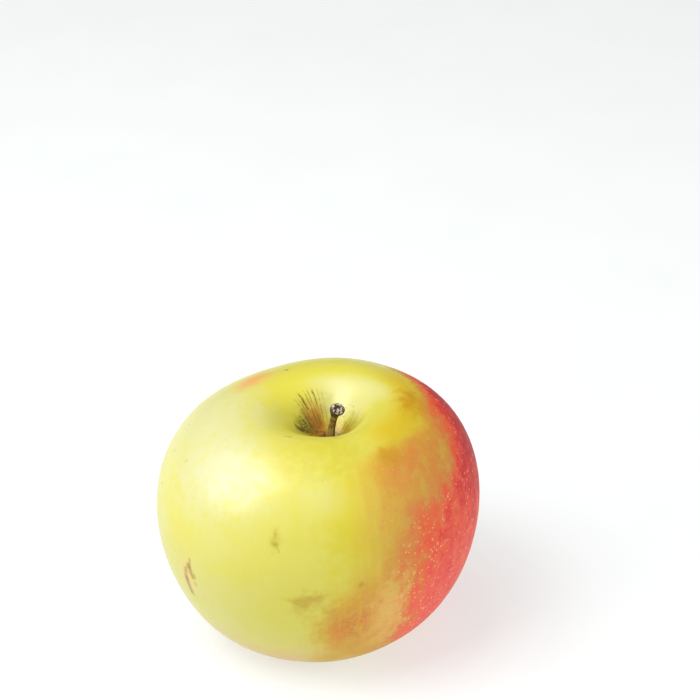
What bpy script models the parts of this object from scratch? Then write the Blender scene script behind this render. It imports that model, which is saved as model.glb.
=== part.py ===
"""A whole apple standing on its base: the fruit, its woody stem and the dried calyx underneath.

Units are metres and +Z is up. The origin is on the ground, under the middle of the fruit. The front of
the fruit faces -Y, and its blushed cheek faces +X.
"""

import math

import bmesh
import bpy
from mathutils import Vector

MM = 0.001

# Fruit: an ellipsoid that is swollen on its diagonals and pinched in at both ends of its core
GIRTH_RADIUS = 39.4 * MM
HALF_HEIGHT = 37.1 * MM
SHOULDER_FLARE = 0.052  # how much wider the stem end is than the middle, and the calyx end narrower
SWELL_MIDDLE = 0.024  # how far the diagonals stand out past the ellipsoid
SWELL_SHIFT = -0.025  # less of that swelling at the stem end, more at the calyx end

# Unevenness of the fruit, as shares of its radius
SIDE_SQUEEZE = 0.049  # the fruit is a little oval across its diagonal
LOBE_COUNT = 5
LOBE_HEIGHT = 0.012  # low lobes round the stem end
LOBE_TURN = 5.3
CORE_LEAN_X = -0.057  # the stem end leans off the calyx end
CORE_LEAN_Y = -0.020
HIGH_SHOULDER_X = 1.9 * MM  # the right shoulder stands higher than the left
HIGH_SHOULDER_Y = -0.6 * MM

# Stem cavity: a wide flare round a narrow funnel, a little in front and to the right of the middle
FLARE_DEPTH = 8.2 * MM
FLARE_ANGLE = 0.50
FUNNEL_DEPTH = 11.0 * MM
FUNNEL_ANGLE = 0.21
CAVITY_SHIFT = Vector((3.0 * MM, -1.5 * MM, 0.0))
CAVITY_SHIFT_ANGLE = 0.45

# One fold crosses the cavity's near lip in front of the stem
FOLD_DEPTH = 1.2 * MM
FOLD_AZIMUTH = -1.3
FOLD_SHARPNESS = 6
FOLD_ANGLE = 0.26  # from the core, where the fold is deepest
FOLD_SPREAD = 0.15

# Calyx basin, and the five crowns round it that the fruit stands on
BASIN_DEPTH = 12.0 * MM
BASIN_ANGLE = 0.30
CROWN_COUNT = 5
CROWN_HEIGHT = 0.9 * MM
CROWN_ANGLE = 0.44  # from the core, where the crowns are highest
CROWN_SPREAD = 0.25
CROWN_TURN = 0.6
WORN_FLAT = 0.35 * MM  # how much of each crown's tip is flat, where it stands on the ground

# Sockets in the fruit that the stem and the calyx grow out of
SOCKET_GAP = 0.3 * MM
STEM_ROOT_RADIUS = 1.25 * MM
STEM_ROOT_DEPTH = 3.0 * MM
CALYX_ROOT_RADIUS = 2.4 * MM
CALYX_ROOT_DEPTH = 1.6 * MM

# Stem: a thin shaft that bends forward and right to a swollen knob with a hollow scar
STEM_HEIGHT = 12.5 * MM  # from the cavity's floor to the knob's rim, along the stem
STEM_RADIUS = 0.90 * MM
KNOB_RADIUS = 1.60 * MM
KNOB_LENGTH = 2.4 * MM
STEM_REACH = Vector((1.8 * MM, -4.2 * MM, 0.0))
# The knob's rings from the middle of its scar down, as shares of its radius and of its length
KNOB_PROFILE = ((0.0, 0.15), (0.43, 0.12), (0.72, 0.02), (0.86, 0.0), (1.0, 0.17), (0.97, 0.34), (0.8, 0.58), (0.61, 0.82))
ROOT_FLARE = 3  # how late the shaft widens towards its root
STEM_RINGS = 16
STEM_SIDES = 16

# Calyx: a small cup whose rim runs out into five curled sepals
CUP_RADIUS = 3.3 * MM
CUP_HEIGHT = 1.3 * MM
SEPAL_COUNT = 5
SEPAL_LENGTH = 4.0 * MM
SEPAL_LEAN = 1.1 * MM  # how far the middle of a sepal leans in over the cup
SEPAL_CURL = 1.6 * MM  # how far its tip curls out again
SEPAL_THICKNESS = 0.4 * MM
SEPAL_POINT = 1.6  # how sharply a sepal narrows to its tip
CUP_LIP = 0.35 * MM  # how far the cup's rim stands out between the sepals
CALYX_SIDES = 40
CALYX_ROWS = 12
ROOT_DISC_SHARE = 2 / 12  # rows of the wrapped grid that make the root's disc, its sleeve and the cup
ROOT_SHARE = 4 / 12
CUP_SHARE = 6 / 12

FRUIT_SEGMENTS = 96
FRUIT_RINGS = 54
MOUTH_RING = 2  # rings 0 and 1 at each end are the socket's floor, and this one is its mouth
RING_CROWDING = 0.5  # 0 spaces the rings evenly, and 1 crowds them as closely as they go at both ends
MERGE_DISTANCE = 0.01 * MM

SKIN_COLOUR = (0.80, 0.67, 0.16, 1.0)
STEM_COLOUR = (0.20, 0.13, 0.06, 1.0)
CALYX_COLOUR = (0.13, 0.09, 0.05, 1.0)


def clear_scene():
    for obj in list(bpy.data.objects):
        bpy.data.objects.remove(obj)


def material(name, colour, roughness):
    made = bpy.data.materials.new(name)
    made.use_nodes = True
    shader = made.node_tree.nodes["Principled BSDF"]
    shader.inputs["Base Color"].default_value = colour
    shader.inputs["Roughness"].default_value = roughness
    shader.inputs["Metallic"].default_value = 0.0
    return made


def bell(x, width):
    """1 at zero, falling smoothly to nothing a few widths away."""
    return math.exp(-((x / width) ** 2))


def fruit_point(polar, azimuth):
    """A point of the skin before the fruit is set down: polar runs from 0 at the stem end to pi at the calyx end."""
    along = math.cos(polar)
    upper = (1 + along) / 2
    swell = 1 + (SWELL_MIDDLE + SWELL_SHIFT * along) * math.sin(2 * polar) ** 2
    girth = 1 + SIDE_SQUEEZE * math.sin(2 * azimuth)
    girth += LOBE_HEIGHT * upper * math.cos(LOBE_COUNT * azimuth + LOBE_TURN)
    girth += along * (CORE_LEAN_X * math.cos(azimuth) + CORE_LEAN_Y * math.sin(azimuth))
    radius = GIRTH_RADIUS * math.sin(polar) * swell * (1 + SHOULDER_FLARE * along) * girth
    point = Vector((radius * math.cos(azimuth), radius * math.sin(azimuth), HALF_HEIGHT * along * swell))
    point += CAVITY_SHIFT * bell(polar, CAVITY_SHIFT_ANGLE)

    from_calyx = math.pi - polar
    point.z += upper * (HIGH_SHOULDER_X * point.x + HIGH_SHOULDER_Y * point.y) / GIRTH_RADIUS
    point.z -= FLARE_DEPTH * bell(polar, FLARE_ANGLE) + FUNNEL_DEPTH * bell(polar, FUNNEL_ANGLE)
    in_fold = max(0.0, math.cos(azimuth - FOLD_AZIMUTH)) ** FOLD_SHARPNESS
    point.z -= FOLD_DEPTH * in_fold * bell(polar - FOLD_ANGLE, FOLD_SPREAD)
    point.z += BASIN_DEPTH * bell(from_calyx, BASIN_ANGLE)
    between_crowns = (1 - math.cos(CROWN_COUNT * azimuth + CROWN_TURN)) / 2
    point.z += CROWN_HEIGHT * between_crowns * bell(from_calyx - CROWN_ANGLE, CROWN_SPREAD)
    return point


def mouth_polar(radius):
    return math.asin(radius / GIRTH_RADIUS)


STEM_MOUTH = mouth_polar(STEM_ROOT_RADIUS + SOCKET_GAP)
CALYX_MOUTH = mouth_polar(CALYX_ROOT_RADIUS + SOCKET_GAP)


def ring_polar(ring):
    """The polar angle of a ring of the skin. The rings lie closer together at both ends."""
    share = (ring - MOUTH_RING) / (FRUIT_RINGS - 2 * MOUTH_RING)
    eased = share - RING_CROWDING * math.sin(2 * math.pi * share) / (2 * math.pi)
    return STEM_MOUTH + (math.pi - STEM_MOUTH - CALYX_MOUTH) * eased


def skin_ring(polar):
    """The points of one ring of the skin, before the fruit is set down."""
    return [fruit_point(polar, 2 * math.pi * turn / FRUIT_SEGMENTS) for turn in range(FRUIT_SEGMENTS)]


def standing_point():
    """The point that becomes the origin: under the middle of the girth, level with the crowns' flats."""
    skin = [point for ring in range(MOUTH_RING, FRUIT_RINGS - MOUTH_RING + 1) for point in skin_ring(ring_polar(ring))]
    middle = [(min(values) + max(values)) / 2 for values in zip(*(point.xy for point in skin))]
    return Vector((*middle, min(point.z for point in skin) + WORN_FLAT))


def seat(mouth):
    """The middle of a socket's mouth, once the fruit is set down."""
    return sum(skin_ring(mouth), Vector()) / FRUIT_SEGMENTS - ORIGIN


ORIGIN = standing_point()
STEM_SEAT = seat(STEM_MOUTH)
CALYX_SEAT = seat(math.pi - CALYX_MOUTH)


def fruit_vertex(ring, azimuth):
    """Where a ring's vertex goes: in a socket, or on the skin with the crowns' tips worn flat."""
    end = min(ring, FRUIT_RINGS - ring)
    if end >= MOUTH_RING:
        point = fruit_point(ring_polar(ring), azimuth) - ORIGIN
        point.z = max(point.z, 0.0)
        return point
    if ring < MOUTH_RING:
        middle, radius, depth = STEM_SEAT, STEM_ROOT_RADIUS + SOCKET_GAP, -STEM_ROOT_DEPTH
    else:
        middle, radius, depth = CALYX_SEAT, CALYX_ROOT_RADIUS + SOCKET_GAP, CALYX_ROOT_DEPTH
    if end == 0:
        radius = 0.0
    return middle + Vector((radius * math.cos(azimuth), radius * math.sin(azimuth), depth))


def link(mesh, name, collection, look):
    obj = bpy.data.objects.new(name, mesh)
    collection.objects.link(obj)
    mesh.materials.append(look)
    mesh.shade_smooth()
    return obj


def build_fruit(collection, look):
    shape = bmesh.new()
    bmesh.ops.create_uvsphere(shape, u_segments=FRUIT_SEGMENTS, v_segments=FRUIT_RINGS, radius=1.0)
    for vertex in shape.verts:
        polar = math.acos(max(-1.0, min(1.0, vertex.co.z)))
        azimuth = math.atan2(vertex.co.y, vertex.co.x)
        vertex.co = fruit_vertex(round(polar / math.pi * FRUIT_RINGS), azimuth)
    bmesh.ops.recalc_face_normals(shape, faces=shape.faces)
    mesh = bpy.data.meshes.new("fruit")
    shape.to_mesh(mesh)
    shape.free()
    return link(mesh, "fruit", collection, look)


def stem_profile():
    """Radius and height of the turned stem, from the knob's hollow scar down to the root."""
    points = [(KNOB_RADIUS * radius, STEM_HEIGHT - KNOB_LENGTH * drop) for radius, drop in KNOB_PROFILE]
    for ring in range(STEM_RINGS):
        share = ring / (STEM_RINGS - 1)
        flare = (STEM_ROOT_RADIUS - STEM_RADIUS) * share**ROOT_FLARE
        points.append((STEM_RADIUS + flare, (STEM_HEIGHT - KNOB_LENGTH) * (1 - share)))
    foot = SOCKET_GAP - STEM_ROOT_DEPTH
    return points + [(STEM_ROOT_RADIUS, foot / 2), (STEM_ROOT_RADIUS, foot), (0.0, foot)]


def turned(name, profile, sides, look, collection):
    """A closed solid turned from (radius, height) points round Z, as a plain mesh object."""
    shape = bmesh.new()
    line = [shape.verts.new((radius, 0.0, height)) for radius, height in profile]
    for first, second in zip(line, line[1:]):
        shape.edges.new((first, second))
    outline = bpy.data.meshes.new(name + "_profile")
    shape.to_mesh(outline)
    shape.free()
    blank = bpy.data.objects.new(name + "_blank", outline)
    collection.objects.link(blank)
    screw = blank.modifiers.new("Turn", "SCREW")
    screw.steps = sides
    screw.render_steps = sides
    screw.use_merge_vertices = True
    screw.merge_threshold = MERGE_DISTANCE
    bpy.context.view_layer.update()
    mesh = bpy.data.meshes.new_from_object(blank.evaluated_get(bpy.context.evaluated_depsgraph_get()))
    bpy.data.objects.remove(blank)
    return link(mesh, name, collection, look)


def bend_stem(stem):
    """Leans the turned stem forward and right, more and more towards its knob."""
    for vertex in stem.data.vertices:
        share = max(0.0, vertex.co.z) / STEM_HEIGHT
        slope = STEM_REACH * (2 * share / STEM_HEIGHT)
        along = Vector((slope.x, slope.y, 1.0)).normalized()
        turn = Vector((0, 0, 1)).rotation_difference(along)
        across = Vector((vertex.co.x, vertex.co.y, 0.0))
        middle = STEM_REACH * share**2 + Vector((0, 0, vertex.co.z))
        vertex.co = STEM_SEAT + middle + turn @ across


def calyx_point(share, azimuth):
    """Radius and drop of the calyx's middle surface, from the middle of its root out to its rim."""
    root_radius = CALYX_ROOT_RADIUS - SEPAL_THICKNESS / 2
    root_length = CALYX_ROOT_DEPTH - SOCKET_GAP - SEPAL_THICKNESS / 2
    disc = min(1.0, share / ROOT_DISC_SHARE)
    sleeve = min(1.0, max(0.0, share - ROOT_DISC_SHARE) / (ROOT_SHARE - ROOT_DISC_SHARE))
    bowl = min(1.0, max(0.0, share - ROOT_SHARE) / (CUP_SHARE - ROOT_SHARE))
    leaf = max(0.0, share - CUP_SHARE) / (1 - CUP_SHARE)
    tooth = abs(math.cos(SEPAL_COUNT * azimuth / 2)) ** SEPAL_POINT
    reach = leaf * tooth
    radius = root_radius * disc + (CUP_RADIUS - root_radius) * bowl**2
    radius += SEPAL_CURL * reach**3 - SEPAL_LEAN * math.sin(math.pi * reach)
    drop = root_length * sleeve + CUP_HEIGHT * bowl + CUP_LIP * leaf + SEPAL_LENGTH * reach
    return radius, drop


def build_calyx(collection, look):
    """A grid wrapped round the core and thickened: its first row closes at the middle of the root."""
    shape = bmesh.new()
    bmesh.ops.create_grid(shape, x_segments=CALYX_SIDES, y_segments=CALYX_ROWS, size=0.5)
    for vertex in shape.verts:
        azimuth = 2 * math.pi * (vertex.co.x + 0.5)
        radius, drop = calyx_point(vertex.co.y + 0.5, azimuth)
        vertex.co = (radius * math.cos(azimuth), radius * math.sin(azimuth), -drop)
    bmesh.ops.remove_doubles(shape, verts=shape.verts, dist=MERGE_DISTANCE)
    bmesh.ops.recalc_face_normals(shape, faces=shape.faces)
    mesh = bpy.data.meshes.new("calyx")
    shape.to_mesh(mesh)
    shape.free()
    calyx = link(mesh, "calyx", collection, look)
    calyx.location = CALYX_SEAT + Vector((0, 0, CALYX_ROOT_DEPTH - SOCKET_GAP - SEPAL_THICKNESS / 2))
    wall = calyx.modifiers.new("Wall", "SOLIDIFY")
    wall.thickness = SEPAL_THICKNESS
    wall.offset = 0.0
    return calyx


def main():
    clear_scene()
    apple = bpy.data.collections.new("apple")
    bpy.context.scene.collection.children.link(apple)
    build_fruit(apple, material("waxy_skin", SKIN_COLOUR, 0.35))
    stem = turned("stem", stem_profile(), STEM_SIDES, material("stem_bark", STEM_COLOUR, 0.8), apple)
    bend_stem(stem)
    build_calyx(apple, material("dry_sepal", CALYX_COLOUR, 0.85))


main()
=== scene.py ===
"""A whole yellow-green apple with a red blush, standing on a pale table in soft studio light.

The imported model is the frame. A waxy skin, a bark-covered stem and a dried calyx replace its three solids.
Units are metres and +Z is up. The front of the fruit faces -Y, and its blushed cheek faces +X.
"""

import math

import bmesh
import bpy
from mathutils import Matrix, Vector


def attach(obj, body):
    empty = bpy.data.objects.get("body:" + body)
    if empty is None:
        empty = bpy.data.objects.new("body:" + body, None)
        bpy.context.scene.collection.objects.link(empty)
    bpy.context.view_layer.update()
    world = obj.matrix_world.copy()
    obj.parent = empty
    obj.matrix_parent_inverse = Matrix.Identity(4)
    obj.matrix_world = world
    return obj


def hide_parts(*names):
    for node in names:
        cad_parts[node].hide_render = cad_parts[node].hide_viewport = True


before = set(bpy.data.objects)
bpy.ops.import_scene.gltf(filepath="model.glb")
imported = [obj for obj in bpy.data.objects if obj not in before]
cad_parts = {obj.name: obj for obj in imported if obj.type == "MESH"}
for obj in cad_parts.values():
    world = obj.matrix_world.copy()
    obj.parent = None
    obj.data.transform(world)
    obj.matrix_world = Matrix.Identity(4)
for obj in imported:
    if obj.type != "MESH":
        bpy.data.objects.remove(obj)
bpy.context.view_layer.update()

MM = 0.001

# Angles in degrees
HALF_TURN = 180.0
RADIAN = 57.3

# Places on the skin are given by turn and polar angle, in degrees, seen from the middle of the fruit. Turn
# is 0 at the front, 90 at the blushed cheek and -90 at the pale one. Polar is 0 at the stem and 180 at the
# calyx.
FRUIT_MIDDLE = Vector((0.0, 0.0, 32.8 * MM))
STEM_SEAT = Vector((2.86 * MM, -1.69 * MM, 51.22 * MM))
CALYX_SEAT = Vector((0.0, -0.16 * MM, 7.17 * MM))

# The depth of the low relief that each piece has on top of its solid
WAVE_DEPTH = 0.16 * MM
RIDGE_DEPTH = 0.1 * MM
WRINKLE_DEPTH = 0.15 * MM

# The stem's heights above its seat
FOOT_HEIGHT = 0.1 * MM
SHANK_HEIGHT = 1.6 * MM
NECK_HEIGHT = 8.8 * MM
KNOB_HEIGHT = 10.4 * MM

# Camera, as the photograph was taken
CAMERA_ELEVATION = 29.0
CAMERA_DISTANCE = 600 * MM
CAMERA_ASIDE = 7.54 * MM
CAMERA_RAISED = 38.1 * MM
CAMERA_SENSOR = 36.0
CAMERA_LENS = 125.3

# Table and studio
TABLE_REACH = 6.0
TABLE_DROP = 0.05 * MM
TABLE_GLOW = 0.58
STUDIO_GLOW = 0.2

# Colours are display values from 0 to 255
GROUND_YELLOW = (209, 202, 92)
# Pale cream, the skin's own paler tone in some places and painted highlight in others
GROUND_PALE_AND_HIGHLIGHT = (209, 207, 150)
# Pale cream painted as highlight round the key softbox's reflection
GROUND_PAINTED_HIGHLIGHT = (210, 209, 166)
GROUND_GREEN = (204, 191, 28)
GROUND_LIP = (210, 201, 66)
# Darker olive painted as shade in front of the cavity
GROUND_PAINTED_SHADE = (190, 180, 50)
GROUND_GOLD = (208, 176, 14)
GROUND_TAN = (212, 170, 98)
BLUSH_OLIVE = (196, 168, 56)
BLUSH_PINK = (238, 96, 88)
BLUSH_ROSE = (216, 116, 84)
# Cream for the pale dots, and for a patch of painted light low on the blush
CREAM_DOTS_AND_LIGHT = (240, 200, 120)
DOT_PINK = (246, 150, 118)
DOT_BROWN = (150, 84, 20)
MARK_OLIVE = (168, 150, 20)
MARK_GOLD = (178, 140, 14)
MARK_OCHRE = (190, 136, 10)
MARK_BROWN = (140, 112, 0)
MARK_PEACH = (232, 186, 104)
MARK_SALMON = (232, 158, 88)
RUSSET_GOLD = (184, 128, 14)
RUSSET_BROWN = (130, 82, 8)
# Dark brown for russet, and for painted shade behind the near lip and at the cavity's floor
RUSSET_DARK_AND_SHADE = (66, 46, 10)
RUSSET_RAY = (108, 88, 10)
RUSSET_OLIVE = (140, 128, 16)
BARK_OLIVE = (176, 150, 84)
BARK_BROWN = (124, 94, 50)
# Dark brown for the bark's grain and knob and the calyx's fibres, and for painted shade on the stem's right
# side
BARK_DARK_AND_SHADE = (40, 28, 18)
BARK_PALE = (218, 200, 176)
SEPAL_BROWN = (96, 70, 44)
SEPAL_GREY = (150, 132, 104)
TABLE_WHITE = (252, 252, 251)
TABLE_GREY = (164, 170, 170)

# The blush's colours, each with the density where it stands
BLUSH_STOPS = (
    (0.0, (208, 190, 52)),
    (0.16, (206, 170, 40)),
    (0.32, (204, 152, 44)),
    (0.46, (206, 134, 44)),
    (0.58, (214, 110, 38)),
    (0.69, (226, 92, 40)),
    (0.8, (224, 64, 42)),
    (0.91, (204, 30, 14)),
    (1.0, (184, 0, 0)),
)

# Edges that run down the fruit, as (polar, turn) points: three where the blush grows denser, and the one at
# the back where it ends
TAN_EDGE = (
    (0, 60),
    (30, 44),
    (38, 26),
    (46, 20),
    (60, 17),
    (78, 15),
    (92, 9),
    (106, 2),
    (120, -10),
    (180, -20),
)
RED_EDGE = (
    (0, 116),
    (38, 104),
    (44, 94),
    (50, 88),
    (56, 79),
    (61, 67),
    (67, 52),
    (75, 39),
    (90, 34),
    (104, 34),
    (128, 35),
    (180, 50),
)
# The deep edge bounds the crimson, which near the upper right rim is partly the skin's own deeper red and
# partly painted shade
DEEP_EDGE = (
    (0, 130),
    (42, 108),
    (47, 90),
    (54, 82),
    (62, 79),
    (72, 81),
    (84, 90),
    (94, 112),
    (110, 145),
    (180, 150),
)
FAR_EDGE = ((0, 120), (40, 132), (90, 160), (130, 146), (180, 110))

# How soft each edge is, in degrees of turn to either side. The red edge is softest near the stem, so its
# softness is given as (polar, softness) points.
TAN_SOFTNESS = 16.0
RED_SOFTNESS = ((0, 26), (50, 28), (62, 28), (72, 20), (84, 16), (104, 16), (180, 20))
DEEP_SOFTNESS = 26.0

# Oval patches where the blush is denser or thinner: turn, polar, half width, half height and added density
BLUSH_PATCHES = (
    (11, 106, 19, 19, 0.24),
    (50, 50, 30, 14, 0.15),
    (43, 68, 13, 8, 0.2),
    (71, 59, 11, 10, -0.16),
    (88, 42, 16, 6, 0.24),
)

# Oval patches of colour: turn, polar, half width, half height, how ragged the edge is, strength and colour
GROUND_PATCHES = (
    # Pale cream over the left shoulder, partly the skin's own paler tone and partly painted highlight
    (-80, 45, 66, 32, 0.8, 0.95, GROUND_PALE_AND_HIGHLIGHT),
    # Painted highlight: pale cream round the key softbox's reflection on the left shoulder
    (-44, 54, 36, 22, 0.5, 0.9, GROUND_PAINTED_HIGHLIGHT),
    (14, 66, 18, 40, 0.9, 0.95, GROUND_GREEN),
    (0, 36, 40, 16, 0.9, 0.3, GROUND_GREEN),
    # Painted shade: darker olive in front of the cavity and just below the key highlight
    (8, 40, 42, 14, 0.9, 0.65, GROUND_PAINTED_SHADE),
    (-12, 46, 16, 8, 0.9, 0.4, GROUND_PAINTED_SHADE),
    # A faint painted highlight on the upper front
    (2, 55, 15, 10, 0.9, 0.35, GROUND_PALE_AND_HIGHLIGHT),
    (-6, 92, 34, 34, 0.9, 0.4, GROUND_GREEN),
)
MARK_PATCHES = (
    (38, 45, 12, 7, 1.6, 0.8, MARK_OCHRE),
    (88, 37, 24, 8, 1.6, 0.9, MARK_OCHRE),
    (-2.0, 93.5, 11, 8, 1.8, 0.3, MARK_GOLD),
    (-2.6, 91.8, 7.5, 4.4, 2.0, 0.5, MARK_GOLD),
    (-6.0, 94.6, 4, 4, 2.0, 0.45, MARK_GOLD),
    (15.5, 87.4, 2.0, 1.8, 1.6, 0.8, MARK_OLIVE),
    (-48.4, 93, 4.2, 11, 1.0, 0.8, MARK_PEACH),
    (-100, 84, 16, 22, 1.2, 0.35, MARK_PEACH),
    (-128, 36, 26, 7, 1.2, 0.8, MARK_SALMON),
    (-14.2, 71.2, 2.0, 1.6, 1.6, 0.7, MARK_OLIVE),
    (-14.6, 68.2, 1.3, 2.2, 1.6, 0.5, MARK_OLIVE),
    (-14, 70, 3.5, 5, 1.4, 0.3, MARK_OLIVE),
    (-23, 32.6, 1.6, 1.2, 0.8, 0.7, GROUND_PALE_AND_HIGHLIGHT),
    (-154, 32.7, 2.2, 0.8, 0.8, 0.9, RUSSET_DARK_AND_SHADE),
)

# Thin scars: where each starts and ends as (turn, polar), half its width, strength and colour
MARK_STROKES = (
    ((-46.2, 85.6), (-46.6, 88.8), 0.9, 0.5, MARK_BROWN),
    ((-46.8, 88.4), (-45.6, 92.4), 1.5, 0.65, MARK_BROWN),
    ((-47.6, 88.2), (-48.6, 91.6), 1.0, 0.35, MARK_BROWN),
    ((-44.6, 91.0), (-44.3, 91.6), 0.9, 0.4, MARK_BROWN),
    ((-44.9, 94.6), (-44.7, 95.4), 0.9, 0.4, MARK_BROWN),
    ((-49.0, 90.6), (-49.6, 95.6), 1.5, 0.45, MARK_BROWN),
    ((-49.4, 94.6), (-48.8, 101.0), 1.7, 0.7, MARK_BROWN),
    ((-13.9, 71.4), (-12.9, 73.6), 0.5, 0.4, MARK_OLIVE),
    ((-25.4, 31.2), (-21.0, 30.8), 0.6, 0.7, MARK_OLIVE),
    ((-80.2, 60.8), (-79.6, 61.0), 0.5, 0.8, MARK_OLIVE),
    ((-65.2, 58.4), (-64.8, 57.4), 0.4, 0.7, MARK_OLIVE),
)


def tint(colour):
    """Display values from 0 to 255 as the linear colour that a socket takes."""
    shares = [value / 255 for value in colour]
    linear = [share / 12.92 if share <= 0.04045 else ((share + 0.055) / 1.055) ** 2.4 for share in shares]
    return (*linear, 1.0)


class Graph:
    """One node tree, with short calls for the nodes that shaders and Geometry Nodes have in common."""

    def __init__(self, tree):
        self.tree = tree

    def feed(self, socket, value):
        """Links a socket to another node's output, or sets it to a plain value."""
        if isinstance(value, bpy.types.NodeSocket):
            self.tree.links.new(value, socket)
        else:
            socket.default_value = value

    def node(self, kind, inputs=None, **settings):
        made = self.tree.nodes.new(kind)
        for name, value in settings.items():
            setattr(made, name, value)
        for name, value in (inputs or {}).items():
            self.feed(made.inputs[name], value)
        return made

    def math(self, operation, first, second=0.0):
        return self.node("ShaderNodeMath", {0: first, 1: second}, operation=operation).outputs[0]

    def add(self, first, second):
        return self.math("ADD", first, second)

    def less(self, first, second):
        return self.math("SUBTRACT", first, second)

    def times(self, first, *others):
        for other in others:
            first = self.math("MULTIPLY", first, other)
        return first

    def most(self, first, *others):
        for other in others:
            first = self.math("MAXIMUM", first, other)
        return first

    def vector(self, operation, first, second=(0.0, 0.0, 0.0), output="Vector", **inputs):
        feeds = {0: first, 1: second, **inputs}
        return self.node("ShaderNodeVectorMath", feeds, operation=operation).outputs[output]

    def length(self, vector):
        return self.vector("LENGTH", vector, output="Value")

    def parts(self, vector):
        return self.node("ShaderNodeSeparateXYZ", {0: vector}).outputs[:]

    def join(self, x, y, z):
        return self.node("ShaderNodeCombineXYZ", {0: x, 1: y, 2: z}).outputs[0]

    def fade(self, value, start, end):
        """0 at start and 1 at end, eased in between. Start may be the larger of the two."""
        inputs = {"Value": value, "From Min": start, "From Max": end}
        return self.node("ShaderNodeMapRange", inputs, interpolation_type="SMOOTHSTEP").outputs[0]

    def band(self, value, start, full, waning, end):
        """0 up to start, 1 from full to waning, and 0 again from end."""
        return self.times(self.fade(value, start, full), self.fade(value, end, waning))

    def noise(self, vector, scale, detail=2.0, roughness=0.5):
        """Soft noise from about 0.25 to 0.75, with scale lumps to the unit of the vector."""
        inputs = {"Vector": vector, "Scale": scale, "Detail": detail, "Roughness": roughness}
        return self.node("ShaderNodeTexNoise", inputs).outputs[0]

    def jitter(self, value, noise, span):
        """Shifts a value by its noise, at most by about a quarter of span either way."""
        return self.add(value, self.times(self.less(noise, 0.5), span))

    def curve(self, value, points):
        """A smooth curve through (degrees, result) points. Degrees run from 0 to 180, results up to 180."""
        made = self.node("ShaderNodeFloatCurve", {"Value": self.math("DIVIDE", value, HALF_TURN)})
        line = made.mapping.curves[0]
        places = [(degrees / HALF_TURN, result / HALF_TURN) for degrees, result in points]
        line.points[0].location = places[0]
        line.points[1].location = places[-1]
        for place in places[1:-1]:
            line.points.new(*place)
        made.mapping.update()
        return self.times(made.outputs[0], HALF_TURN)


class Finish(Graph):
    """A procedural material that reads the piece's own Object coordinates."""

    def __init__(self, name):
        self.material = bpy.data.materials.new(name)
        self.material.use_nodes = True
        super().__init__(self.material.node_tree)
        self.surface = self.tree.nodes["Principled BSDF"]
        self.place = self.node("ShaderNodeTexCoord").outputs["Object"]
        self.colour = None

    def blend(self, share, below, above):
        """The colour below where share is 0, and the one above where it is 1."""
        mix = self.node("ShaderNodeMix", data_type="RGBA")
        for index, value in ((0, share), (6, below), (7, above)):
            self.feed(mix.inputs[index], tint(value) if isinstance(value, tuple) else value)
        return mix.outputs[2]

    def paint(self, colour, *shares):
        """Lays a colour over what is painted so far, as far as the product of the shares lets it."""
        self.colour = self.blend(self.times(*shares), self.colour, colour)

    def ramp(self, value, stops):
        """A run of colours, each given with the value where it stands."""
        made = self.node("ShaderNodeValToRGB", {0: value})
        line = made.color_ramp.elements
        line[0].position, line[-1].position = stops[0][0], stops[-1][0]
        for position, _ in stops[1:-1]:
            line.new(position)
        for stop, (_, colour) in zip(line, stops):
            stop.color = tint(colour)
        return made.outputs[0]

    def bump(self, height, depth, strength):
        inputs = {"Height": height, "Distance": depth, "Strength": strength}
        return self.node("ShaderNodeBump", inputs).outputs[0]

    def finish(self, **sockets):
        """Sets the surface's sockets, named as on the shader with underscores for spaces."""
        self.feed(self.surface.inputs["Base Color"], self.colour)
        for name, value in sockets.items():
            self.feed(self.surface.inputs[name.replace("_", " ")], value)
        return self.material


class Recipe(Graph):
    """A Geometry Nodes tree with named inputs for its sizes."""

    def __init__(self, name, **sizes):
        super().__init__(bpy.data.node_groups.new(name, "GeometryNodeTree"))
        self.sizes = {size.replace("_", " "): value for size, value in sizes.items()}
        face = self.tree.interface
        face.new_socket("Geometry", in_out="INPUT", socket_type="NodeSocketGeometry")
        for size, value in self.sizes.items():
            kind = "NodeSocketInt" if isinstance(value, int) else "NodeSocketFloat"
            face.new_socket(size, in_out="INPUT", socket_type=kind)
        face.new_socket("Geometry", in_out="OUTPUT", socket_type="NodeSocketGeometry")
        self.input = self.node("NodeGroupInput").outputs
        self.position = self.node("GeometryNodeInputPosition").outputs[0]
        self.normal = self.node("GeometryNodeInputNormal").outputs[0]

    def subdivided(self):
        inputs = {"Mesh": self.input["Geometry"], "Level": self.input["Levels"]}
        return self.node("GeometryNodeSubdivisionSurface", inputs).outputs[0]

    def shifted(self, geometry, offset):
        return self.node("GeometryNodeSetPosition", {"Geometry": geometry, "Offset": offset}).outputs[0]

    def pushed(self, geometry, distance):
        """Moves each point along its normal."""
        return self.shifted(geometry, self.vector("SCALE", self.normal, Scale=distance))

    def close(self, geometry, material):
        """Ends the tree: instances are made real, faces are smooth and the piece's material is set."""
        real = self.node("GeometryNodeRealizeInstances", {"Geometry": geometry}).outputs[0]
        smooth = self.node("GeometryNodeSetShadeSmooth", {"Geometry": real}).outputs[0]
        dressed = self.node("GeometryNodeSetMaterial", {"Geometry": smooth, "Material": material})
        self.feed(self.node("NodeGroupOutput").inputs[0], dressed.outputs[0])

    def apply(self, piece):
        """Runs the tree on a piece and keeps the result as the piece's plain mesh."""
        run = piece.modifiers.new(self.tree.name, "NODES")
        run.node_group = self.tree
        for socket in self.tree.interface.items_tree:
            if socket.in_out == "INPUT" and socket.name in self.sizes:
                run[socket.identifier] = self.sizes[socket.name]
        bpy.context.view_layer.update()
        result = piece.evaluated_get(bpy.context.evaluated_depsgraph_get())
        mesh = bpy.data.meshes.new_from_object(result)
        piece.modifiers.remove(run)
        piece.data = mesh
        mesh.name = piece.name
        return piece


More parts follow.
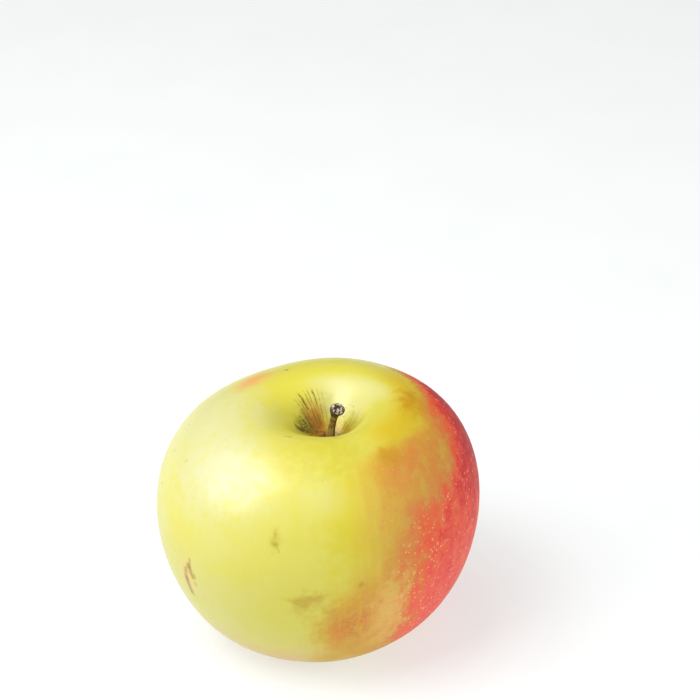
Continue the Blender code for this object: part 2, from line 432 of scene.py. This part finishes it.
def placed(thing, name):
    """An object in the scene that holds a mesh, a lamp or a camera."""
    holder = bpy.data.objects.new(name, thing)
    bpy.context.scene.collection.objects.link(holder)
    return holder


def piece_from(shape, name):
    """Turns a bmesh into a piece of its own."""
    mesh = bpy.data.meshes.new(name)
    shape.to_mesh(mesh)
    shape.free()
    return placed(mesh, name)


def merged_copy(node_name, name):
    """A CAD node's surface as a piece of its own, with its loose triangles merged back into quads."""
    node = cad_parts[node_name]
    shape = bmesh.new()
    shape.from_mesh(node.data)
    shape.transform(node.matrix_world)
    bmesh.ops.remove_doubles(shape, verts=shape.verts, dist=0.002 * MM)
    bmesh.ops.join_triangles(
        shape,
        faces=shape.faces,
        angle_face_threshold=math.radians(40),
        angle_shape_threshold=math.radians(180),
    )
    return piece_from(shape, name)


class Skin(Finish):
    """The waxy skin, with turn and polar as its coordinates and the noises that all its layers share."""

    def __init__(self):
        super().__init__("waxy_skin")
        x, y, z = self.parts(self.vector("SUBTRACT", self.place, tuple(FRUIT_MIDDLE)))
        girth = self.length(self.join(x, y, 0.0))
        self.polar = self.math("DEGREES", self.math("ARCTAN2", girth, z))
        self.turn = self.math("DEGREES", self.math("ARCTAN2", x, self.less(0.0, y)))
        self.around = self.vector("NORMALIZE", self.join(x, y, 0.0))
        self.blotch = self.noise(self.place, 100, detail=3.0)
        self.cloud = self.noise(self.place, 210, detail=3.0, roughness=0.6)
        self.mottle = self.noise(self.place, 430, detail=4.0, roughness=0.6)
        self.stipple = self.noise(self.place, 1500, detail=2.0, roughness=0.6)
        self.streak = self.streaks(14.0, 1.6)
        self.thin_streak = self.streaks(44.0, 2.4)
        wandering = self.jitter(self.turn, self.blotch, 12.0)
        self.wandering = self.jitter(wandering, self.streak, 9.0)

    def streaks(self, count, run):
        """Noise drawn out from the stem to the calyx: count sets how fine, run how often it breaks."""
        x, y, _ = self.parts(self.around)
        drawn = self.join(self.times(x, count), self.times(y, count), self.times(self.polar, run / RADIAN))
        return self.noise(drawn, 1.0, detail=3.0, roughness=0.55)

    def patch(self, turn, polar, width, height, ragged=1.0):
        """1 in the middle of an oval patch and 0 outside it. Sizes are half widths in degrees."""
        across = self.math("DIVIDE", self.less(self.turn, turn), width)
        down = self.math("DIVIDE", self.less(self.polar, polar), height)
        reach = self.length(self.join(across, down, 0.0))
        return self.fade(self.jitter(reach, self.mottle, ragged), 1.0, 0.0)

    def paint_patches(self, patches):
        for turn, polar, width, height, ragged, strength, colour in patches:
            self.paint(colour, self.patch(turn, polar, width, height, ragged), strength)

    def stroke(self, start, end, width):
        """A thin mark from one place to another, each given as turn and polar. Width is half its own."""
        shrink = math.sin(math.radians((start[1] + end[1]) / 2))
        run = Vector(((end[0] - start[0]) * shrink, end[1] - start[1], 0.0))
        sideways = self.times(self.less(self.turn, start[0]), shrink)
        here = self.join(sideways, self.less(self.polar, start[1]), 0.0)
        along = self.vector("DOT_PRODUCT", here, tuple(run / run.length_squared), output="Value")
        along = self.math("MINIMUM", self.most(along, 0.0), 1.0)
        nearest = self.vector("SCALE", tuple(run), Scale=along)
        reach = self.math("DIVIDE", self.vector("DISTANCE", here, nearest, output="Value"), width)
        return self.fade(self.jitter(reach, self.stipple, 1.0), 1.0, 0.2)

    def past(self, edge, softness):
        """0 left of an edge that runs down the fruit and 1 right of it, softness degrees to either side."""
        beyond = self.less(self.wandering, self.curve(self.polar, edge))
        return self.fade(beyond, self.times(softness, -1.0), softness)

    def dots(self, scale, radius, kept):
        """Round dots: cells to the metre, a dot's radius in cells, and the share of cells that keep one."""
        cells = self.node("ShaderNodeTexVoronoi", {"Vector": self.place, "Scale": scale}).outputs
        chosen = self.fade(self.parts(cells["Color"])[0], kept + 0.02, kept - 0.02)
        return self.times(self.fade(cells["Distance"], radius, radius * 0.4), chosen)

    def net(self, noise, width):
        """Thin curly lines, where a noise crosses its middle."""
        return self.fade(self.math("ABSOLUTE", self.less(noise, 0.5)), width, width * 0.3)


def paint_ground(skin):
    """Mottled yellow, greener in front and round the cavity, tan low down, with a creamy left shoulder that
    is partly its own paler tone and partly painted highlight, and painted shade in front of the cavity.
    """
    polar = skin.jitter(skin.polar, skin.blotch, 22.0)
    # The left cheek is paler, partly its own tone and partly painted highlight where the key softbox falls
    pale = skin.times(skin.fade(skin.blotch, 0.4, 0.66), skin.fade(skin.turn, 10, -50), 0.3)
    skin.colour = skin.blend(pale, GROUND_YELLOW, GROUND_PALE_AND_HIGHLIGHT)
    skin.paint(GROUND_LIP, skin.fade(polar, 46, 22), 0.85)
    skin.paint_patches(GROUND_PATCHES)
    skin.paint(GROUND_LIP, skin.fade(skin.streak, 0.5, 0.72), skin.fade(skin.polar, 100, 60), 0.2)
    skin.paint(GROUND_GREEN, skin.fade(skin.thin_streak, 0.5, 0.7), skin.fade(skin.turn, -60, -10), 0.12)
    skin.paint(GROUND_LIP, skin.fade(skin.mottle, 0.5, 0.7), 0.2)
    skin.paint(GROUND_TAN, skin.fade(polar, 108, 136), 0.85)
    skin.paint(GROUND_LIP, skin.fade(polar, 138, 164), 0.8)
    basin = skin.fade(skin.jitter(skin.polar, skin.mottle, 8.0), 163, 172)
    skin.paint(RUSSET_OLIVE, basin, skin.fade(skin.stipple, 0.36, 0.56), 0.7)


def blush_density(skin):
    """How dense the blush is, from 0 to about 1. It thins out near the stem, the calyx and the back."""
    tan = skin.times(skin.past(TAN_EDGE, TAN_SOFTNESS), 0.30)
    red = skin.times(skin.past(RED_EDGE, skin.curve(skin.polar, RED_SOFTNESS)), 0.48)
    deep = skin.times(skin.past(DEEP_EDGE, DEEP_SOFTNESS), 0.23)
    near_stem = skin.fade(skin.jitter(skin.polar, skin.mottle, 10.0), 37, 47)
    fringed = skin.jitter(skin.jitter(skin.polar, skin.blotch, 30.0), skin.streak, 24.0)
    near_calyx = skin.fade(fringed, 164, 128)
    far_side = skin.fade(skin.less(skin.wandering, skin.curve(skin.polar, FAR_EDGE)), 24.0, -26.0)
    density = skin.times(skin.add(tan, skin.add(red, deep)), near_stem, near_calyx, far_side)
    for turn, polar, width, height, more in BLUSH_PATCHES:
        density = skin.add(density, skin.times(skin.patch(turn, polar, width, height, 1.2), more))
    return density


def paint_blush(skin):
    """The blush by how dense it is: tan where thin, then orange and red, crimson where it is dense."""
    density = blush_density(skin)
    present = skin.fade(density, 0.0, 0.32)
    # The thin blush is calmer than the red
    unrest = skin.add(0.55, skin.times(skin.fade(density, 0.3, 0.6), 0.45))
    for noise, span in (
        (skin.cloud, 0.30),
        (skin.mottle, 0.36),
        (skin.stipple, 0.34),
        (skin.streak, 0.20),
        (skin.thin_streak, 0.14),
    ):
        density = skin.jitter(density, noise, skin.times(unrest, span))
    golden_ring = skin.times(skin.band(skin.polar, 26, 36, 40, 48), skin.band(skin.turn, 24, 50, 110, 150))
    skin.paint(GROUND_GOLD, golden_ring, 0.85)
    skin.paint(skin.ramp(density, BLUSH_STOPS), present)
    skin.paint(BLUSH_OLIVE, present, skin.fade(skin.cloud, 0.5, 0.34), skin.fade(density, 0.66, 0.46), 0.4)
    # Painted light: cream laid over the low blush to brighten it
    skin.paint(CREAM_DOTS_AND_LIGHT, skin.patch(28, 105, 15, 27, 1.2), skin.fade(density, 0.7, 0.5), 0.4)
    rosy = skin.times(skin.fade(skin.stipple, 0.36, 0.7), skin.band(density, 0.22, 0.5, 0.54, 0.72))
    skin.paint(BLUSH_ROSE, rosy, skin.fade(skin.polar, 94, 76), 0.35)
    skin.paint(BLUSH_PINK, skin.fade(skin.polar, 76, 108), skin.fade(density, 0.58, 0.76), 0.42)
    return density, present


def paint_dots(skin, density):
    """Pale dots, crowded where the blush is thin and larger on the red, with rusty lines among them."""
    blushed = skin.fade(skin.turn, 18, 30)
    red = skin.times(skin.fade(density, 0.55, 0.72), skin.fade(skin.turn, 20, 34))
    thin = skin.times(skin.band(density, 0.36, 0.5, 0.68, 0.86), blushed)
    low = skin.times(skin.fade(skin.polar, 92, 118), skin.fade(density, 0.3, 0.44), blushed)
    crowded = skin.times(skin.most(thin, low), skin.fade(skin.polar, 58, 80))
    skin.paint(DOT_PINK, skin.dots(620, 0.24, 0.8), red, 0.8)
    skin.paint(DOT_PINK, skin.dots(300, 0.15, 0.6), red, 0.85)
    skin.paint(CREAM_DOTS_AND_LIGHT, skin.dots(900, 0.30, 0.8), crowded, 0.65)
    skin.paint(GROUND_PALE_AND_HIGHLIGHT, skin.dots(420, 0.11, 0.4), 0.35)
    skin.paint(DOT_BROWN, skin.dots(700, 0.18, 0.5), skin.patch(78, 42, 24, 9, 0.5), 0.6)
    rusty = skin.most(skin.patch(15, 105, 15, 15, 0.6), skin.times(skin.patch(60, 58, 34, 22, 0.6), 0.4))
    skin.paint(DOT_BROWN, skin.net(skin.noise(skin.place, 900, detail=3.0), 0.024), rusty, 0.6)
    skin.paint(GROUND_GOLD, skin.fade(skin.thin_streak, 0.5, 0.62), skin.patch(18, 104, 20, 24, 0.8), 0.45)


def paint_marks(skin):
    """Small blemishes, each where it sits on the fruit."""
    skin.paint_patches(MARK_PATCHES)
    for start, end, width, strength, colour in MARK_STROKES:
        skin.paint(colour, skin.stroke(start, end, width), strength)


class Cavity:
    """The skin round the stem, by bearing and by out, the distance from the stem's seat in millimetres.

    Bearing is 0 at the front, 90 toward the blushed cheek, -90 toward the pale one and 180 at the back.
    """

    def __init__(self, skin):
        self.skin = skin
        x, y, _ = skin.parts(skin.vector("SUBTRACT", skin.place, tuple(STEM_SEAT)))
        out = skin.math("DIVIDE", skin.length(skin.join(x, y, 0.0)), MM)
        # The underside lies round the stem's axis too, so it is put out of reach
        self.out = skin.add(out, skin.times(skin.fade(skin.polar, 80, 90), 50.0))
        self.bearing = skin.math("DEGREES", skin.math("ARCTAN2", x, skin.less(0.0, y)))
        self.spots = skin.noise(skin.place, 1500, detail=3.0, roughness=0.65)
        self.coarse = skin.noise(skin.place, 600, detail=3.0, roughness=0.6)
        self.fringe = skin.jitter(self.out, self.coarse, 4.0)
        # The near lip's left part is clear of russet, and away says how far behind that part a place lies
        self.away = skin.jitter(skin.less(y, skin.times(x, 0.72)), self.coarse, 2.4 * MM)
        self.sheltered = skin.fade(self.away, 3.2 * MM, 5.0 * MM)

    def toward(self, middle, reach):
        """1 in a direction from the seat, and 0 from reach degrees to either side of it."""
        skin = self.skin
        apart = skin.math("ABSOLUTE", skin.less(self.bearing, middle))
        nearer = skin.math("MINIMUM", apart, skin.less(360.0, apart))
        return skin.fade(skin.jitter(nearer, self.coarse, 16.0), reach, reach * 0.4)

    def within(self, end, full):
        """1 near the seat and 0 from end millimetres out, with a ragged border."""
        return self.skin.fade(self.fringe, end, full)

    def rays(self, spacing, from_out, to_out):
        """Thin lines that point at the seat, about spacing degrees apart, with ragged ends."""
        skin = self.skin
        round_seat = skin.join(0.0, 0.0, self.bearing)
        drift = skin.jitter(skin.jitter(self.bearing, self.coarse, 4.0), skin.noise(round_seat, 0.12), 14.0)
        line = skin.fade(skin.math("COSINE", skin.times(drift, math.tau / spacing)), 0.1, 0.95)
        length = skin.jitter(self.out, skin.noise(round_seat, 0.35), 6.0)
        return skin.times(line, skin.band(length, from_out, from_out + 1.5, to_out - 1.5, to_out))


def paint_cavity_wall(skin, cavity):
    """A painted highlight in pale cream on the far wall, and olive that fades out from the seat."""
    # Painted highlight: pale cream on the cavity's far wall
    far_wall_highlight = skin.times(cavity.toward(152, 68), cavity.within(17.0, 13.0))
    skin.paint(GROUND_PALE_AND_HIGHLIGHT, far_wall_highlight, skin.fade(cavity.out, 5.0, 8.0), 0.6)
    skin.paint(RUSSET_OLIVE, cavity.within(9.0, 4.5), 0.3)
    skin.paint(RUSSET_OLIVE, cavity.toward(-150, 46), cavity.within(12.0, 8.0), 0.35)
    skin.paint(RUSSET_OLIVE, cavity.toward(-100, 50), cavity.within(10.5, 6.5), cavity.sheltered, 0.6)


def paint_golden_core(skin, cavity):
    """Golden and brown russet behind the stem and left of it, with thin rays, and the share it covers."""
    golden = skin.times(cavity.toward(-144, 25), cavity.within(10.5, 7.0))
    brown = skin.times(cavity.toward(-141, 26), cavity.within(8.4, 4.8))
    skin.paint(RUSSET_GOLD, golden, 0.85)
    skin.paint(RUSSET_BROWN, brown, 0.9)
    broken = skin.fade(cavity.spots, 0.34, 0.46)
    skin.paint(RUSSET_RAY, cavity.rays(5.6, 7.0, 12.4), cavity.toward(-148, 26), broken, 0.8)
    skin.paint(RUSSET_DARK_AND_SHADE, cavity.rays(9.0, 4.0, 9.0), cavity.toward(-140, 40), 0.5)
    return skin.most(golden, brown)


def paint_dark_net(skin, cavity):
    """A dark net left of the stem, a dark band just behind the near lip that is partly russet and partly
    painted shade, and the share of that band.
    """
    wide_net = skin.times(skin.net(cavity.coarse, 0.035), cavity.toward(-106, 36), cavity.within(9.4, 7.0))
    fine_net = skin.times(skin.net(cavity.spots, 0.045), cavity.toward(-102, 40), cavity.within(9.2, 7.0))
    skin.paint(RUSSET_DARK_AND_SHADE, wide_net, cavity.sheltered, 0.8)
    skin.paint(RUSSET_DARK_AND_SHADE, fine_net, cavity.sheltered, 0.75)
    # Painted shade, together with russet, in a band just behind the near lip
    behind_lip = skin.times(skin.fade(cavity.away, 7.0 * MM, 4.9 * MM), cavity.sheltered)
    russet_and_shade_behind_lip = skin.times(behind_lip, cavity.toward(-106, 42), cavity.within(9.4, 7.4))
    skin.paint(RUSSET_DARK_AND_SHADE, russet_and_shade_behind_lip, skin.fade(cavity.spots, 0.34, 0.54), 0.85)
    return russet_and_shade_behind_lip


def paint_right_streaks(skin, cavity):
    """Gold close round the stem, and weak olive and dark streaks to the right of it."""
    skin.paint(RUSSET_GOLD, cavity.within(6.4, 3.8), skin.fade(cavity.spots, 0.36, 0.56), 0.7)
    skin.paint(RUSSET_OLIVE, cavity.toward(122, 22), cavity.within(8.4, 5.0), 0.4)
    skin.paint(RUSSET_OLIVE, cavity.rays(9.0, 3.4, 7.4), cavity.toward(124, 26), 0.55)
    skin.paint(RUSSET_DARK_AND_SHADE, cavity.rays(14.0, 3.0, 6.0), cavity.toward(126, 24), 0.45)
    specks = skin.times(skin.fade(cavity.spots, 0.56, 0.62), skin.fade(cavity.out, 9.6, 8.6))
    skin.paint(RUSSET_OLIVE, specks, cavity.toward(146, 16), 0.4)


def paint_cavity(skin):
    """Russet round the stem's seat, partly painted shade behind the near lip and at the cavity's floor, and
    the share of the skin that it covers.
    """
    cavity = Cavity(skin)
    paint_cavity_wall(skin, cavity)
    core = paint_golden_core(skin, cavity)
    russet_and_shade_behind_lip = paint_dark_net(skin, cavity)
    paint_right_streaks(skin, cavity)
    # The cavity's floor is dark, partly russet and partly painted shade
    cavity_floor_russet_and_shade = skin.fade(skin.jitter(cavity.out, cavity.spots, 4.0), 4.2, 2.6)
    skin.paint(RUSSET_DARK_AND_SHADE, cavity_floor_russet_and_shade, 0.85)
    return skin.most(core, russet_and_shade_behind_lip, cavity_floor_russet_and_shade)


def skin_finish():
    """Waxy and glossy, duller where it is blushed or russeted."""
    skin = Skin()
    paint_ground(skin)
    density, present = paint_blush(skin)
    paint_dots(skin, density)
    paint_marks(skin)
    russet = paint_cavity(skin)
    dullness = skin.add(skin.times(present, 0.26), skin.times(russet, 0.35))
    pores = skin.noise(skin.place, 700, detail=3.0)
    relief = skin.add(skin.times(pores, 0.6), skin.times(skin.thin_streak, 0.4))
    return skin.finish(
        Roughness=skin.add(skin.jitter(0.3, skin.mottle, 0.12), dullness),
        Normal=skin.bump(relief, 0.10 * MM, 0.3),
        IOR=1.47,
        Specular_IOR_Level=0.5,
        Subsurface_Weight=0.08,
        Subsurface_Radius=(1.0, 0.55, 0.25),
        Subsurface_Scale=2.0 * MM,
    )


def build_skin():
    """The fruit's surface, smoothed and gently waved."""
    skin = merged_copy("fruit", "skin")
    recipe = Recipe("skin_relief", Levels=2, Wave_Depth=WAVE_DEPTH, Waves_per_Metre=75.0)
    wave = recipe.noise(recipe.position, recipe.input["Waves per Metre"], detail=1.0)
    sunk = recipe.times(wave, recipe.input["Wave Depth"], -1.0)
    recipe.close(recipe.pushed(recipe.subdivided(), sunk), skin_finish())
    return recipe.apply(skin)


def stem_finish():
    """Olive and brown bark with a dark grain, painted shade on the right, darker at the knob, and a flecked
    top.
    """
    bark = Finish("stem_bark")
    x, y, z = bark.parts(bark.vector("SUBTRACT", bark.place, tuple(STEM_SEAT)))
    grain = bark.noise(bark.join(x, y, bark.times(z, 0.18)), 2600, detail=3.0, roughness=0.6)
    blotch = bark.noise(bark.place, 900, detail=3.0, roughness=0.6)
    fleck = bark.noise(bark.place, 2300, detail=2.0, roughness=0.6)
    facing = bark.parts(bark.node("ShaderNodeNewGeometry").outputs["Normal"])
    knob = bark.fade(z, 9.2 * MM, 10.2 * MM)
    bark.colour = bark.blend(bark.fade(blotch, 0.4, 0.62), BARK_OLIVE, BARK_BROWN)
    bark.paint(BARK_DARK_AND_SHADE, bark.fade(grain, 0.5, 0.64), 0.7)
    # Painted shade on the stem's side that faces right
    bark.paint(BARK_DARK_AND_SHADE, bark.fade(facing[0], 0.15, 0.8), 0.8)
    bark.paint(BARK_DARK_AND_SHADE, knob, 0.85)
    bark.paint(BARK_PALE, knob, bark.fade(facing[2], 0.45, 0.75), bark.fade(fleck, 0.49, 0.58))
    rough = bark.add(0.6, bark.times(grain, 0.3))
    return bark.finish(Roughness=rough, Normal=bark.bump(grain, 0.2 * MM, 0.8))


def build_stem():
    """The stem's surface with ridges along it, a flared foot and a swollen knob."""
    stem = merged_copy("stem", "bark")
    recipe = Recipe(
        "bark_ridges",
        Levels=2,
        Ridge_Depth=RIDGE_DEPTH,
        Ridges_per_Metre=1500.0,
        Foot_Flare=0.36 * MM,
        Foot_Height=STEM_SEAT.z + FOOT_HEIGHT,
        Shank_Height=STEM_SEAT.z + SHANK_HEIGHT,
        Knob_Swell=0.34 * MM,
        Knob_Height=STEM_SEAT.z + KNOB_HEIGHT,
        Neck_Height=STEM_SEAT.z + NECK_HEIGHT,
    )
    x, y, z = recipe.parts(recipe.position)
    drawn = recipe.join(x, y, recipe.times(z, 0.12))
    ridge = recipe.times(recipe.noise(drawn, recipe.input["Ridges per Metre"]), recipe.input["Ridge Depth"])
    foot = recipe.fade(z, recipe.input["Shank Height"], recipe.input["Foot Height"])
    flare = recipe.times(foot, recipe.input["Foot Flare"])
    barked = recipe.pushed(recipe.subdivided(), recipe.less(flare, ridge))
    knob = recipe.fade(z, recipe.input["Neck Height"], recipe.input["Knob Height"])
    level = recipe.vector("MULTIPLY", recipe.normal, (1.0, 1.0, 0.0))
    swell = recipe.vector("SCALE", level, Scale=recipe.times(knob, recipe.input["Knob Swell"]))
    recipe.close(recipe.shifted(barked, swell), stem_finish())
    return recipe.apply(stem)


def calyx_finish():
    """Dry brown and grey, with fine dark fibres."""
    dry = Finish("dry_sepal")
    blotch = dry.noise(dry.place, 700, detail=3.0, roughness=0.6)
    fibre = dry.noise(dry.place, 3500, detail=2.0, roughness=0.6)
    dry.colour = dry.blend(dry.fade(blotch, 0.4, 0.65), SEPAL_BROWN, SEPAL_GREY)
    dry.paint(BARK_DARK_AND_SHADE, dry.fade(fibre, 0.5, 0.7), 0.5)
    rough = dry.add(0.75, dry.times(fibre, 0.2))
    return dry.finish(Roughness=rough, Normal=dry.bump(fibre, 0.1 * MM, 0.6))


def build_calyx():
    """The calyx's surface, wrinkled, with a ring of dried stamens that hang from its cup."""
    calyx = merged_copy("calyx", "dried_calyx")
    recipe = Recipe(
        "calyx_wrinkles",
        Levels=1,
        Wrinkle_Depth=WRINKLE_DEPTH,
        Wrinkles_per_Metre=900.0,
        Stamens=15,
        Ring_Radius=1.3 * MM,
        Stamen_Length=3.4 * MM,
        Stamen_Foot=0.15 * MM,
        Stamen_Tip=0.08 * MM,
        Stamen_Tilt=0.3,
        Seed=4,
    )
    wrinkle = recipe.noise(recipe.position, recipe.input["Wrinkles per Metre"])
    cup = recipe.pushed(recipe.subdivided(), recipe.times(wrinkle, recipe.input["Wrinkle Depth"], -1.0))
    circle = {"Vertices": recipe.input["Stamens"], "Radius": recipe.input["Ring Radius"]}
    ring = recipe.node("GeometryNodeMeshCircle", circle).outputs[0]
    ring = recipe.shifted(ring, tuple(CALYX_SEAT + Vector((0.0, 0.0, 0.8 * MM))))
    cone = {
        "Vertices": 7,
        "Radius Top": recipe.input["Stamen Tip"],
        "Radius Bottom": recipe.input["Stamen Foot"],
        "Depth": recipe.input["Stamen Length"],
    }
    thread = recipe.node("GeometryNodeMeshCone", cone).outputs["Mesh"]
    tilts = {0: (-1.0, -1.0, -1.0), 1: (1.0, 1.0, 1.0), "Seed": recipe.input["Seed"]}
    tilt = recipe.node("FunctionNodeRandomValue", tilts, data_type="FLOAT_VECTOR").outputs[0]
    tilt = recipe.vector("SCALE", tilt, Scale=recipe.input["Stamen Tilt"])
    hung = recipe.vector("ADD", tilt, (math.pi, 0.0, 0.0))
    hanging = {"Points": ring, "Instance": thread, "Rotation": hung}
    stamens = recipe.node("GeometryNodeInstanceOnPoints", hanging).outputs[0]
    whole = recipe.node("GeometryNodeJoinGeometry", {"Geometry": cup})
    recipe.feed(whole.inputs["Geometry"], stamens)
    recipe.close(whole.outputs[0], calyx_finish())
    return recipe.apply(calyx)


def build_table():
    """A broad white table top that glows a little, as one lit from below does."""
    shape = bmesh.new()
    bmesh.ops.create_grid(shape, x_segments=2, y_segments=2, size=TABLE_REACH)
    table = piece_from(shape, "table_top")
    table.location.z = -TABLE_DROP
    acrylic = Finish("white_acrylic")
    cloudy = acrylic.times(acrylic.noise(acrylic.place, 30, detail=3.0), 0.1)
    acrylic.colour = acrylic.blend(cloudy, TABLE_GREY, TABLE_WHITE)
    finish = acrylic.finish(Roughness=0.9, Emission_Color=tint(TABLE_WHITE), Emission_Strength=TABLE_GLOW)
    table.data.materials.append(finish)
    return table


def softbox(name, turn, elevation, distance, width, height, power):
    """A rectangular white lamp that shines on the fruit from a turn and an elevation in degrees."""
    lamp = bpy.data.lights.new(name, "AREA")
    lamp.shape = "RECTANGLE"
    lamp.size = width
    lamp.size_y = height
    lamp.energy = power
    turn, elevation = math.radians(turn), math.radians(elevation)
    level = math.cos(elevation)
    way = Vector((level * math.sin(turn), -level * math.cos(turn), math.sin(elevation)))
    facing = (-way).to_track_quat("-Z", "Y").to_matrix().to_4x4()
    placed(lamp, name).matrix_world = Matrix.Translation(FRUIT_MIDDLE + way * distance) @ facing


def light_scene():
    """Two softboxes on the left, a broad canopy above, a low fill on the right and a weak glow all round."""
    softbox("key_softbox", turn=-64, elevation=48, distance=0.6, width=0.42, height=0.52, power=3.3)
    softbox("upper_softbox", turn=-96, elevation=68, distance=0.7, width=0.6, height=0.5, power=1.7)
    softbox("canopy", turn=30, elevation=60, distance=1.0, width=2.0, height=2.0, power=4.1)
    softbox("right_fill", turn=58, elevation=18, distance=1.0, width=1.2, height=1.0, power=4.9)
    world = bpy.data.worlds.new("white_studio")
    world.use_nodes = True
    sky = world.node_tree.nodes["Background"].inputs
    sky["Color"].default_value = (1.0, 1.0, 1.0, 1.0)
    sky["Strength"].default_value = STUDIO_GLOW
    bpy.context.scene.world = world
    bpy.context.scene.view_settings.view_transform = "Standard"


def place_camera():
    """Faces the fruit's middle, then moves aside without turning, as the photograph is framed."""
    elevation = math.radians(CAMERA_ELEVATION)
    back = Vector((0.0, -math.cos(elevation), math.sin(elevation)))
    right = Vector((1.0, 0.0, 0.0))
    up = back.cross(right)
    camera = bpy.data.cameras.new("camera")
    camera.sensor_width = CAMERA_SENSOR
    camera.lens = CAMERA_LENS
    holder = placed(camera, "camera")
    place = FRUIT_MIDDLE + back * CAMERA_DISTANCE + right * CAMERA_ASIDE + up * CAMERA_RAISED
    holder.matrix_world = Matrix.Translation(place) @ Matrix((right, up, back)).transposed().to_4x4()
    bpy.context.scene.camera = holder


place_camera()
light_scene()
build_table()

for made, node_name, slot_name in (
    (build_skin(), "fruit", "waxy_skin"),
    (build_stem(), "stem", "stem_bark"),
    (build_calyx(), "calyx", "dry_sepal"),
):
    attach(made, "root")
    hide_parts(node_name)
